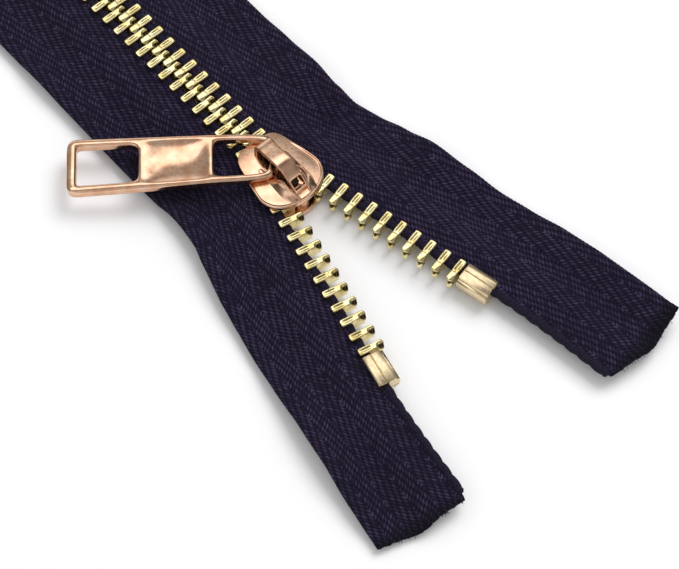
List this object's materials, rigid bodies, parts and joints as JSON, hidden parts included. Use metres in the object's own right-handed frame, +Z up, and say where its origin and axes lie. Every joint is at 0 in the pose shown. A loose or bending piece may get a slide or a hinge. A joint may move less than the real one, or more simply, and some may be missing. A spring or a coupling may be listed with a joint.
{
  "type": "zipper",
  "caption": "Metal zipper on woven tape, partly open: meshed teeth, locking slider with a pull tab, top stops and bottom stop.",
  "frame": {"origin": "on the table, under the middle of the slider's bottom plate", "axes": "+X along the chain towards the top stops, +Y to the left stringer, +Z up from the table"},
  "size_m": [0.1385, 0.057, 0.0073],
  "materials": {
    "tooth_brass": "polished pale gold brass",
    "stop_metal": "satin champagne gold",
    "slider_rose_gold": "polished rose gold plating",
    "lock_steel": "satin, lightly plated",
    "tape_fabric": "matte dark navy-purple herringbone twill",
    "cord_fabric": "matte dark navy-purple braid"
  },
  "bodies": {
    "chain": {"left_teeth_closed": "tooth_brass", "right_teeth_closed": "tooth_brass", "left_tape_closed": "tape_fabric", "right_tape_closed": "tape_fabric", "left_cord_closed": "cord_fabric", "right_cord_closed": "cord_fabric", "bottom_stop": "stop_metal"},
    "left_arm": {"left_teeth_open": "tooth_brass", "left_tape_open": "tape_fabric", "left_cord_open": "cord_fabric", "left_top_stop": "stop_metal"},
    "right_arm": {"right_teeth_open": "tooth_brass", "right_tape_open": "tape_fabric", "right_cord_open": "cord_fabric", "right_top_stop": "stop_metal"},
    "slider": {"slider_body": "slider_rose_gold", "slider_crown": "slider_rose_gold"},
    "lock": {"lock_leaf": "lock_steel"},
    "pull": {"pull_tab": "slider_rose_gold"}
  },
  "joints": [
    {"name": "slider_slide", "type": "slide", "parent": "chain", "child": "slider", "axis": [1, 0, 0], "range_m": [0, 0.0228], "deforming": ["left_teeth_open", "right_teeth_open", "left_cord_open", "right_cord_open"]},
    {"name": "left_arm_hinge", "type": "hinge", "parent": "chain", "child": "left_arm", "pos_m": [-0.0063, 0.0006, 0.00225], "axis": [0, 0, 1], "range_deg": [-11.15, 0]},
    {"name": "right_arm_hinge", "type": "hinge", "parent": "chain", "child": "right_arm", "pos_m": [-0.0063, -0.0006, 0.00225], "axis": [0, 0, 1], "range_deg": [0, 11.15]},
    {"name": "pull_swing", "type": "hinge", "parent": "slider", "child": "pull", "pos_m": [-0.0017, 0.0003, 0.00525], "axis": [-0.7716, 0.6361, 0], "range_deg": [0, 65]},
    {"name": "lock_lift", "type": "hinge", "parent": "slider", "child": "lock", "pos_m": [0.00315, 0, 0.00485], "axis": [0, 1, 0], "range_deg": [0, 2.05]}
  ],
  "couplings": [
    {"joint": "left_arm_hinge", "follows": "slider_slide", "rad_per_m": -8.531},
    {"joint": "right_arm_hinge", "follows": "slider_slide", "rad_per_m": 8.531},
    {"joint": "lock_lift", "follows": "pull_swing", "ratio": 0.030769}
  ]
}
